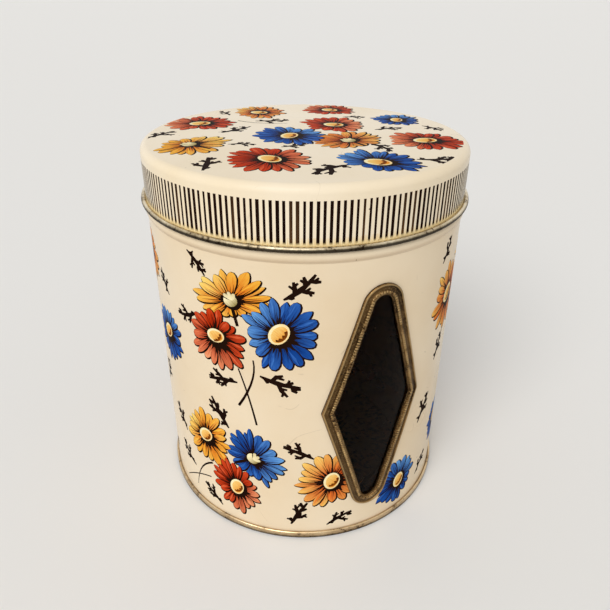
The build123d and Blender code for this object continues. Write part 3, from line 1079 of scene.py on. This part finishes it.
chance = Random(stripe_seed)
stripe_pitch = 2 * unrolled / stripe_count
skirt_patches = [Patch(BRIGHT_INK, box_of(-unrolled, unrolled, margin_low, margin_high), margin_low * 1j,
                       (margin_high - margin_low) * 1j, margin_cream, margin_pale)]
for stripe in range(stripe_count):
    middle = (stripe + 0.5) * stripe_pitch - unrolled + chance.uniform(-0.05, 0.05)
    half = stripe_pitch * chance.choice((0.2, 0.23, 0.25, 0.26, 0.28))
    lean = chance.uniform(-0.04, 0.04)
    foot = box_of(middle - half, middle + half, stripe_foot, stripe_low)
    outline = [complex(middle - half, stripe_low), complex(middle + half, stripe_low),
               complex(middle + half + lean, stripe_high), complex(middle - half + lean, stripe_high)]
    ink = BRIGHT_INK if chance.random() < brown_share else DARK_INK
    skirt_patches += [
        Patch(BRIGHT_INK, foot, complex(middle, stripe_foot), (stripe_low - stripe_foot) * 1j,
              margin_cream, stripe_browns[1]),
        Patch(ink, outline, outline[0], (stripe_high - stripe_low) * 1j, *stripe_browns)]

on_skirt = on_wall(skirt_radius, lid_curl_height, shoulder_height)
skirt_map = halves_map(0.82, 0.09, 0.085, lid_curl_height, shoulder_height)
skirt_border, skirt_rulings = upright(lid_curl_height, shoulder_height)
printed(lid_mesh, LACQUER, skirt_border, skirt_rulings, skirt_patches, on_skirt, off_wall(1), skirt_map)


def chipped(material, low, high, radius):
    """Adds small dark chips to the lacquer between two heights, outside a radius."""
    tree, surface = surface_of(material)
    at = node(tree, "TexCoord", out="Object")
    x, y, z = node(tree, "SeparateXYZ", {"Vector": at}).node.outputs
    flat = node(tree, "CombineXYZ", {"X": x, "Y": y})
    off_axis = node(tree, "VectorMath", {0: flat}, "Value", operation="LENGTH")
    bent = noise(tree, at, 1100).node.outputs["Color"]
    moved = node(tree, "VectorMath", {0: bent, 1: (0.0012, 0.0012, 0.0006), 2: at}, operation="MULTIPLY_ADD")
    dots = node(tree, "TexVoronoi", {"Vector": moved, "Scale": 150})
    chip = maths(tree, "LESS_THAN", dots, masked(tree, dots.node.outputs["Color"], 0.62, 0.95, 0, 0.11))
    for value, none, full in ((z, low, low + 0.5), (z, high, high - 0.3), (off_axis, radius, radius + 1)):
        chip = maths(tree, "MULTIPLY", chip, masked(tree, value, none * mm, full * mm))
    base = surface["Base Color"].links[0].from_socket
    fed(tree, surface, {"Base Color": blended(tree, chip, base, chip_and_shade_colour)})


lid_lacquer = varnished("lid_lacquer", lacquer_gloss, lacquer_specks,
                        (paint(241, 226, 200), paint(236, 218, 186)))
chipped(lid_lacquer, shoulder_height - 1, overall_height - 0.1, top_radius - 1)
curl_plate = plated("curl_plate", paint(226, 212, 182), paint(176, 156, 120), paint(64, 46, 28),
                    plate_roughness, stain_scale=90)
# Painted shade and a painted dark reflection: the curl is darkened near to black from a little above its
# middle downwards.
painted_shade_by_height(curl_plate, lid_curl_height + 0.2, lid_curl_height + 0.8, 0.92, chip_and_shade_colour)
lid_inks = {**inks, LACQUER: lid_lacquer, BARE: curl_plate}
lid = lid_mesh.piece("printed_lid", lid_inks)
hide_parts("lid")
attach(lid, "lid")

# Window pane
# A clear sheet of old film, amber with age, bent to the wall and trapped between the wall and the inner
# frame.
pane_inset = 1.05
pane_thickness = 0.5
pane_outside = wall_radius - sheet - stack_clearance
pane_inside = pane_outside - pane_thickness
pane_map_width, pane_map_height = 60, 115
pane_ring = window_hole(pane_inset)
pane_mesh = SheetMesh()


def pane_map(spot, _):
    return 0.5 + spot.real / pane_map_width, 0.03 + spot.imag / pane_map_height


for skin, way in ((pane_outside, 1), (pane_inside, -1)):
    printed(pane_mesh, LACQUER, pane_ring, wall_rulings, [], on_wall(skin), off_wall(way), pane_map, way < 0)
bridged(pane_mesh, LACQUER, pane_ring, on_wall(pane_inside), on_wall(pane_outside), pane_map)
film = bpy.data.materials.new("aged_film")
tree, surface = surface_of(film)
worn = node(tree, "Group", {"Speck Size": 0.06, "Scratch Width": 0.006}, node_tree=varnish_wear).node.outputs
fed(tree, surface, {"Base Color": blended(tree, worn["Mottle"], paint(196, 148, 98), paint(172, 118, 68)),
                    "Roughness": maths(tree, "MULTIPLY_ADD", worn["Scratches"], 0.3, 0.06),
                    "Normal": bumped(tree, 0.1, 0.2 * mm, worn["Mottle"]),
                    "Transmission Weight": 1, "IOR": 1.12})
pane = pane_mesh.piece("film_pane", {LACQUER: film})
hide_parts("window_pane")
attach(pane, "tin")

# Inner frame
# A plain tinplate ring behind the pane, which the bezel's tabs are bent over.
retainer_inset = 3.9
retainer_outside = pane_inside - stack_clearance
retainer_thickness = 0.4
retainer_inside = retainer_outside - retainer_thickness
least_crease = 40


def wrapped(flat, radius):
    """The place in space of a flat point about the window's middle, bent to a radius."""
    return Vector((flat.real, -sqrt(radius ** 2 - flat.real ** 2), flat.imag + window_height))


def framed(mesh, profile, map_rows=(0, 1)):
    """Sweeps a closed profile of (inset, radius) round the window.

    The profile goes rightwards round its section, seen with the inset to the right and the radius up.
    Bends under least_crease degrees are shaded smooth. map_rows are rows of the flat map.
    """
    count = len(profile)
    sides = [complex(b[0] - a[0], b[1] - a[1]) for a, b in sides_of(profile)]
    fronts = [side * 1j / abs(side) for side in sides]
    rings = [window_ring(inset) for inset, _ in profile]
    stations = len(rings[0])
    inner, outer = window_ring(profile[0][0] + 1), window_ring(profile[0][0])
    inwards = [inner[i] - outer[i] for i in range(stations)]
    lengths, across = [0], [0]
    for station in range(stations):
        lengths.append(lengths[-1] + abs(rings[0][station] - rings[0][station - 1]))
    for side in sides:
        across.append(across[-1] + abs(side))
    for side, front in enumerate(fronts):
        after = (side + 1) % count
        blends = {}
        for row, neighbour in ((side, fronts[side - 1]), (after, fronts[after])):
            smooth = (front.conjugate() * neighbour).real > cos(radians(least_crease))
            blends[row] = front + neighbour if smooth else front
        for station in range(stations):
            corners, facings, strokes = [], [], []
            for row, at in ((side, station), (side, station + 1), (after, station + 1), (after, station)):
                flat, radius = rings[row][at % stations], profile[row][1]
                corner = wrapped(flat, radius)
                inward = wrapped(flat + inwards[at % stations], radius) - corner
                facing = (inward.normalized() * blends[row].real
                          + Vector((corner.x, corner.y, 0)).normalized() * blends[row].imag)
                corners.append(corner)
                facings.append(facing.normalized())
                strokes.append((lengths[at], across[side + (row != side)]))
            low, high = map_rows
            on_map = [(along / lengths[-1], low + (high - low) * wide / across[-1])
                      for along, wide in strokes]
            mesh.add(BARE, corners, facings, on_map, strokes)


retainer_mesh = SheetMesh()
framed(retainer_mesh, [(pane_inset, retainer_inside), (pane_inset, retainer_outside),
                       (retainer_inset, retainer_outside), (retainer_inset, retainer_inside)])
retainer_plate = plated("retainer_plate", paint(176, 168, 150), paint(128, 118, 100), paint(80, 68, 52),
                        plate_roughness)
retainer = retainer_mesh.piece("inner_frame", {BARE: retainer_plate})
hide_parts("window_retainer")
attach(retainer, "tin")

# Window frame
# A coined band of plated brass, rolled to the wall, with a lip outside, a reeded bead inside and a throat
# that lines the opening. Its eight tabs go through slits in the wall and are bent over the inner frame.
seat = wall_radius + stack_clearance
lining = wall_radius - sheet
# The band's section, as the inset from the window's outline and the radius
band_profile = [
    (0, seat), (0, 57.65), (0.06, 57.8), (0.17, 57.91), (0.3, 57.95), (0.5, 57.95), (0.63, 57.91),
    (0.74, 57.8), (0.8, 57.65), (0.84, 57.56), (0.94, 57.5), (2.06, 57.5), (2.16, 57.56), (2.2, 57.66),
    (2.22, 57.78), (2.33, 57.95), (2.5, 58.04), (2.87, 58.08), (3.25, 58.04), (3.42, 57.95), (3.53, 57.78),
    (3.55, 57.6), (3.62, 57.5), (3.93, 57.5), (4.02, 57.46), (band_width, 57.38), (band_width, lining),
    (band_width - throat_width, lining), (band_width - throat_width, seat),
]
tab_profile = [(0.4, 57.2), (0.8, 57.2), (0.8, 55.65), (2.6, 55.65), (2.6, 55.25), (0.4, 55.25)]
tab_half_length = 2.5
tab_side_shares = (0.15, 0.52)
tab_ends = [(0, 5, 2, 1), (5, 4, 3, 2)]
tab_map = [(0.01, 0.01), (0.06, 0.01), (0.06, 0.06), (0.01, 0.06)]
bezel_mesh = SheetMesh()
framed(bezel_mesh, band_profile, (0.08, 1))
for right in (1, -1):
    for up in (1, -1):
        inward = complex(-right * sharp_half_length, -up * window_half_width) / side_length
        along = inward * -1j
        for share in tab_side_shares:
            root = complex(right * (1 - share) * window_half_width, up * share * sharp_half_length)
            ends = [[wrapped(root + inward * inset + along * end, radius) for inset, radius in tab_profile]
                    for end in (-tab_half_length, tab_half_length)]
            quads = [(ends[0][i - 1], ends[0][i], ends[1][i], ends[1][i - 1])
                     for i in range(len(tab_profile))]
            quads += [[ends[0][i] for i in order] for order in tab_ends]
            quads += [[ends[1][i] for i in (order[0], *order[:0:-1])] for order in tab_ends]
            for quad in quads:
                facing = (quad[2] - quad[0]).cross(quad[3] - quad[1]).normalized()
                bezel_mesh.add(BARE, quad, [facing] * 4, tab_map)

# Tarnished plating with fine coined ridges across the band. Shade is painted between them, in the channel
# and at the foot of the lip, and a highlight is painted along the lip's crest, with bright specks.
# lip_line and channel_line are lengths along the band's profile from its foot, at the crest of the lip and
# the middle of the channel.
lip_line, channel_line = 1.15, 2.5
ridge_pitch = 0.9
highlight_and_speck_colour = paint(198, 168, 118)
band_stain_and_shade = paint(38, 24, 12)
band_finish = plated("coined_brass", paint(148, 114, 70), paint(98, 72, 42), band_stain_and_shade, (0.28, 0.5),
                     stain_scale=90, bump_strength=0.3)
tree, surface = surface_of(band_finish)
strokes = node(tree, "UVMap", uv_map="Strokes")
wide = node(tree, "SeparateXYZ", {"Vector": strokes}, "Y")
ridged = node(tree, "Mapping", {"Vector": strokes, "Scale": (1 / ridge_pitch, 0.02, 1)})
ridge = node(tree, "TexWave", {"Vector": ridged, "Scale": 0.31, "Distortion": 3.6, "Detail": 3,
                               "Detail Scale": 3}, "Fac")
pits = noise(tree, strokes, 1.6, 4, Roughness=0.65)
ridged_share = masked(tree, wide, lip_line + 0.4, channel_line, 0.05, 0.5)
height = maths(tree, "MULTIPLY_ADD", ridge, ridged_share, pits)
from_channel, from_lip = (maths(tree, "ABSOLUTE", maths(tree, "SUBTRACT", wide, line))
                          for line in (channel_line, lip_line))
# Painted shade between the ridges, in the channel and at the foot of the lip.
between_ridges = maths(tree, "MULTIPLY", masked(tree, height, 0.85, 0.55, 0, 1.25), ridged_share)
in_channel = masked(tree, from_channel, 0.95, 0.75, 0, 0.58)
at_foot = masked(tree, wide, 0.5, 0.25)
painted_band_shade = maths(tree, "MAXIMUM", maths(tree, "MAXIMUM", in_channel, at_foot), between_ridges)
# Painted highlight along the lip's crest, and bright specks over the pits.
crest_highlight_and_specks = maths(tree, "MAXIMUM", masked(tree, from_lip, 0.32, 0.14, 0, 0.6),
               masked(tree, pits, 0.54, 0.64, 0, 0.8))
base_colour = blended(tree, crest_highlight_and_specks, surface["Base Color"].links[0].from_socket, highlight_and_speck_colour)
fed(tree, surface, {"Base Color": blended(tree, painted_band_shade, base_colour, band_stain_and_shade),
                    "Normal": bumped(tree, 0.5, 0.2 * mm, height)})
bezel = bezel_mesh.piece("window_frame", {BARE: band_finish})
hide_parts("window_bezel")
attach(bezel, "tin")

# Reeding on the frame's bead
# Small barrels that the coining die leaves side by side on the crest of the bead, all round.
reed_pitch = 0.98
reed_line_inset = 2.87
reed_line_radius = 57.98
reed_half_sizes = {"Across": 0.62, "Along": 0.42, "Rise": 0.26}
reed_least_scale, reed_most_scale = 0.86, 1.06
reed_seed = 4


def reeding_tree():
    """Sets one reed at each point of a closed line, turned by the line's normal and tangent."""
    tree = bpy.data.node_groups.new("reeding", "GeometryNodeTree")
    sizes = dict.fromkeys(reed_half_sizes, "Float")
    for name, kind in {"Geometry": "Geometry", "Count": "Int", **sizes, "Finish": "Material"}.items():
        tree.interface.new_socket(name, in_out="INPUT", socket_type="NodeSocket" + kind)
    tree.interface.new_socket("Geometry", in_out="OUTPUT", socket_type="NodeSocketGeometry")
    given = tree.nodes.new("NodeGroupInput").outputs
    line = node(tree, "GeometryNodeMeshToCurve", {"Mesh": given["Geometry"]})
    points = node(tree, "GeometryNodeResampleCurve", {"Curve": line, "Count": given["Count"]})
    place = node(tree, "GeometryNodeInputPosition")
    outward = node(tree, "VectorMath", {0: place, 1: (1, 1, 0)}, operation="MULTIPLY")
    raised = node(tree, "FunctionNodeAlignRotationToVector", {"Vector": outward}, axis="Z")
    tangent = node(tree, "GeometryNodeInputTangent")
    turned = node(tree, "FunctionNodeAlignRotationToVector", {"Rotation": raised, "Vector": tangent},
                  axis="Y", pivot_axis="Z")
    size = node(tree, "CombineXYZ", {"X": given["Across"], "Y": given["Along"], "Z": given["Rise"]})
    scale = node(tree, "FunctionNodeRandomValue",
                 {2: reed_least_scale, 3: reed_most_scale, "Seed": reed_seed}, 1, data_type="FLOAT")
    scaled = node(tree, "VectorMath", {0: size, "Scale": scale}, operation="SCALE")
    reed = node(tree, "GeometryNodeMeshUVSphere", {"Segments": 10, "Rings": 6, "Radius": 1})
    reeds = node(tree, "GeometryNodeInstanceOnPoints",
                 {"Points": points, "Instance": reed, "Rotation": turned, "Scale": scaled})
    finish = {"Material": given["Finish"]}
    for kind, more in (("RealizeInstances", {}), ("SetShadeSmooth", {}), ("SetMaterial", finish)):
        reeds = node(tree, "GeometryNode" + kind, {"Geometry": reeds, **more})
    fed(tree, tree.nodes.new("NodeGroupOutput").inputs, {"Geometry": reeds})
    return tree


reed_line = [wrapped(flat, reed_line_radius) * mm for flat in window_ring(reed_line_inset)]
line_length = sum((a - b).length for a, b in sides_of(reed_line))
line_mesh = bpy.data.meshes.new("reed_line")
line_mesh.from_pydata(reed_line, list(sides_of([*range(len(reed_line))])), [])
reed_finish = plated("reed_brass", paint(188, 158, 108), paint(116, 88, 52), paint(50, 32, 16),
                     (0.26, 0.45), stain_scale=240)
reeding = placed(line_mesh)
modifier = reeding.modifiers.new("reeding", "NODES")
modifier.node_group = reeding_tree()
reed_inputs = {"Count": round(line_length / mm / reed_pitch), "Finish": reed_finish,
               **{name: size * mm for name, size in reed_half_sizes.items()}}
for socket in modifier.node_group.interface.items_tree:
    if socket.name in reed_inputs:
        modifier[socket.identifier] = reed_inputs[socket.name]
reeded = bpy.data.meshes.new_from_object(reeding.evaluated_get(bpy.context.evaluated_depsgraph_get()))
reeding.modifiers.remove(modifier)
reeding.data = reeded
reeding.name = "frame_reeding"
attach(reeding, "tin")

# Floor and light
# A plain pale floor, one broad lamp, and a world that lights from all round and shows as white.
floor_half_width = 9
floor_mesh = bpy.data.meshes.new("floor")
floor_mesh.from_pydata([(x * floor_half_width, y * floor_half_width, 0)
                        for x, y in ((-1, -1), (1, -1), (1, 1), (-1, 1))], [], [(0, 1, 2, 3)])
floor = placed(floor_mesh)
floor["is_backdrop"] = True
floor_paint = bpy.data.materials.new("floor")
fed(*surface_of(floor_paint), {"Base Color": paint(236, 234, 230), "Roughness": 0.9})
floor_mesh.materials.append(floor_paint)

key_data = bpy.data.lights.new("key", "SUN")
key_data.energy = 1.9
key_data.angle = radians(40)
key = bpy.data.objects.new("key", key_data)
key.matrix_world = Matrix.Rotation(radians(-50), 4, "Z") @ Matrix.Rotation(radians(48), 4, "X")
bpy.context.scene.collection.objects.link(key)
world = bpy.data.worlds.new("world")
bpy.context.scene.world = world
world.use_nodes = True
tree = world.node_tree
rays = node(tree, "LightPath").node.outputs
seen = maths(tree, "MAXIMUM", rays["Is Camera Ray"], rays["Is Glossy Ray"])
seen = maths(tree, "MAXIMUM", seen, rays["Is Transmission Ray"])
fed(tree, tree.nodes["Background"].inputs,
    {"Strength": masked(tree, seen, 0, 1, 0.5, 1), "Color": (1, 1, 1, 1)})
bpy.context.scene.view_settings.view_transform = "Standard"

boxes = {"cad": cad_box, "visual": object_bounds()}
{name: [list(map(float, corner)) for corner in box] for name, box in boxes.items()}
